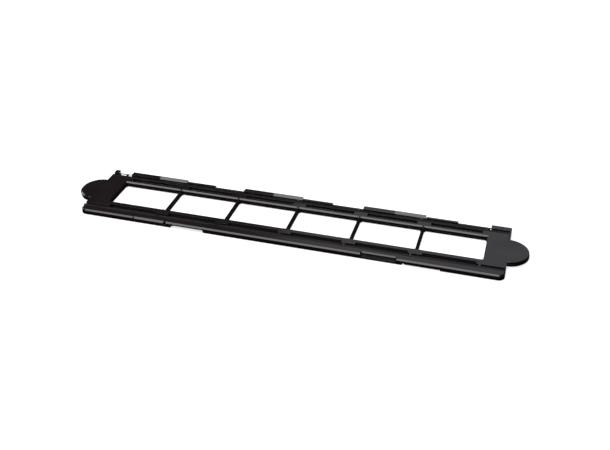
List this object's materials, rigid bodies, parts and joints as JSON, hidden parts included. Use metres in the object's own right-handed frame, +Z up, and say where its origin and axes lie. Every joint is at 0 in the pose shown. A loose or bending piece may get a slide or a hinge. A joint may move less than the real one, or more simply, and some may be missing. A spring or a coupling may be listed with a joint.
{
  "type": "negative carrier",
  "caption": "Hinged two-part frame that holds a strip of 35 mm film flat in a scanner slot, with picture windows and round finger tabs.",
  "frame": {"origin": "middle of the underside, which is also the middle of the row of windows", "axes": "+X along the film strip, +Y from the guide rail to the hinge, +Z up out of the lid's outer face"},
  "size_m": [0.275, 0.0498, 0.0035],
  "materials": {
    "base_plastic": "black injection-moulded plastic, fine satin grain",
    "lid_plastic": "black injection-moulded plastic, fine satin grain",
    "rod_steel": "drawn bright steel"
  },
  "bodies": {
    "base": {"base_frame": "base_plastic", "hinge_rod": "rod_steel"},
    "lid": {"lid_frame": "lid_plastic"}
  },
  "joints": [
    {"name": "lid_hinge", "type": "hinge", "parent": "base", "child": "lid", "pos_m": [0, 0.0237, 0.0021], "axis": [-1, 0, 0], "range_deg": [0, 180]}
  ]
}
